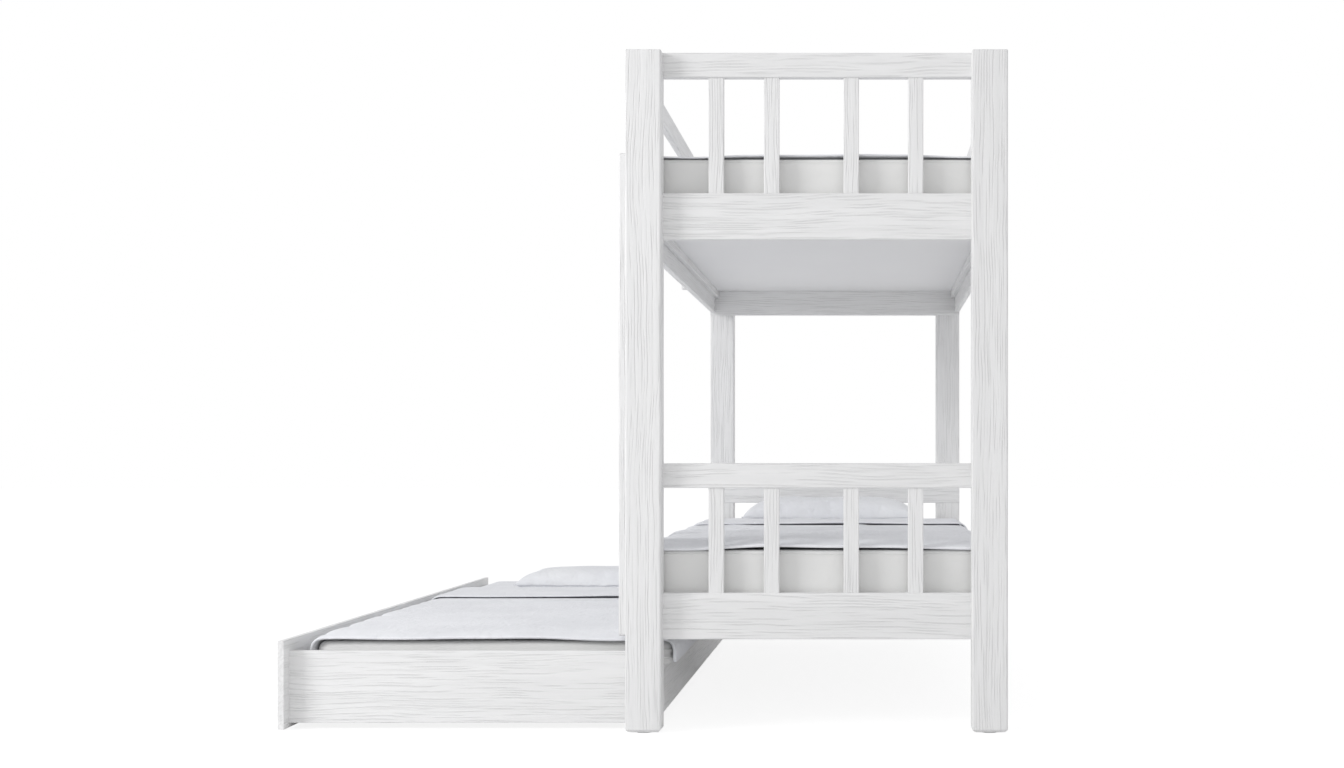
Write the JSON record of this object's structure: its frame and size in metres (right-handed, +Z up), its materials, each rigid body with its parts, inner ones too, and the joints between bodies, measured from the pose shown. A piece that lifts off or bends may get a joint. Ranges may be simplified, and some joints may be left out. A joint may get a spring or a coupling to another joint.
{
  "type": "bunk bed with trundle",
  "caption": "White wooden bunk bed with post frame, slatted ends, side ladder, guard boards, bedding and a third bed on castors that rolls out from below.",
  "frame": {"origin": "on the floor, in the middle of the box round the bunk and the rolled-out trundle", "axes": "+Z up, +Y from the foot end to the head end of the beds, -X the way the trundle rolls out"},
  "size_m": [1.859, 2.14, 1.715],
  "materials": {
    "painted_wood": "white stain over brushed pine grain, satin",
    "painted_panel": "white painted panel, satin",
    "beech": "bare beech",
    "mattress_cover": "off-white knitted cover, matte",
    "duvet_cotton": "white cotton, cool tint, matte",
    "pillow_cotton": "white cotton, matte",
    "zinc_steel": "zinc plated steel",
    "cast_zinc": "plain cast zinc",
    "glide": "white plastic, matte",
    "castor_wheel": "dark grey tread, matte"
  },
  "bodies": {
    "bunk": {"cam_fittings": "cast_zinc", "duvet_lower": "duvet_cotton", "duvet_upper": "duvet_cotton", "floor_glides": "glide", "foot_lower_slats": "painted_wood", "foot_lower_top_rail": "painted_wood", "foot_lower_wide_rail": "painted_wood", "foot_upper_slats": "painted_wood", "foot_upper_top_rail": "painted_wood", "foot_upper_wide_rail": "painted_wood", "guard_battens": "painted_wood", "guard_middle_left": "painted_wood", "guard_middle_right": "painted_wood", "guard_top_left": "painted_wood", "guard_top_right": "painted_wood", "head_lower_headboard": "painted_wood", "head_lower_wide_rail": "painted_wood", "head_upper_slats": "painted_wood", "head_upper_top_rail": "painted_wood", "head_upper_wide_rail": "painted_wood", "ladder_bolts": "zinc_steel", "ladder_rungs": "painted_wood", "ladder_stile_foot": "painted_wood", "ladder_stile_inner": "painted_wood", "mattress_lower": "mattress_cover", "mattress_upper": "mattress_cover", "pillow_lower": "pillow_cotton", "pillow_upper": "pillow_cotton", "platform_ledgers_lower": "painted_wood", "platform_ledgers_upper": "painted_wood", "platform_lower": "painted_panel", "platform_upper": "painted_panel", "post_foot_left": "painted_wood", "post_foot_right": "painted_wood", "post_head_left": "painted_wood", "post_head_right": "painted_wood", "side_rail_lower_left": "painted_wood", "side_rail_lower_right": "painted_wood", "side_rail_upper_left": "painted_wood", "side_rail_upper_right": "painted_wood", "slat_dowels": "beech", "wood_screws": "zinc_steel"},
    "trundle": {"trundle_base": "painted_panel", "trundle_bearers": "painted_wood", "trundle_cam_fittings": "cast_zinc", "trundle_cleats": "painted_wood", "trundle_duvet": "duvet_cotton", "trundle_foot_board": "painted_wood", "trundle_front_panel": "painted_wood", "trundle_head_board": "painted_wood", "trundle_mattress": "mattress_cover", "trundle_pillow": "pillow_cotton", "trundle_rear_board": "painted_wood", "trundle_screws": "zinc_steel", "castor_forks": "zinc_steel", "castor_axles": "zinc_steel"},
    "wheel_foot_front": {"castor_wheel_foot_front": "castor_wheel"},
    "wheel_foot_rear": {"castor_wheel_foot_rear": "castor_wheel"},
    "wheel_head_front": {"castor_wheel_head_front": "castor_wheel"},
    "wheel_head_rear": {"castor_wheel_head_rear": "castor_wheel"}
  },
  "joints": [
    {"name": "trundle_slide", "type": "slide", "parent": "bunk", "child": "trundle", "axis": [-1, 0, 0], "range_m": [-0.863, 0.12], "deforming": ["trundle_pillow"]},
    {"name": "wheel_foot_front_spin", "type": "hinge", "parent": "trundle", "child": "wheel_foot_front", "pos_m": [-0.8235, -0.8, 0.025], "axis": [0, -1, 0], "continuous": true},
    {"name": "wheel_foot_rear_spin", "type": "hinge", "parent": "trundle", "child": "wheel_foot_rear", "pos_m": [-0.0875, -0.8, 0.025], "axis": [0, -1, 0], "continuous": true},
    {"name": "wheel_head_front_spin", "type": "hinge", "parent": "trundle", "child": "wheel_head_front", "pos_m": [-0.8235, 0.8, 0.025], "axis": [0, -1, 0], "continuous": true},
    {"name": "wheel_head_rear_spin", "type": "hinge", "parent": "trundle", "child": "wheel_head_rear", "pos_m": [-0.0875, 0.8, 0.025], "axis": [0, -1, 0], "continuous": true}
  ],
  "couplings": [
    {"joint": "wheel_foot_front_spin", "follows": "trundle_slide", "rad_per_m": 40},
    {"joint": "wheel_foot_rear_spin", "follows": "trundle_slide", "rad_per_m": 40},
    {"joint": "wheel_head_front_spin", "follows": "trundle_slide", "rad_per_m": 40},
    {"joint": "wheel_head_rear_spin", "follows": "trundle_slide", "rad_per_m": 40}
  ]
}
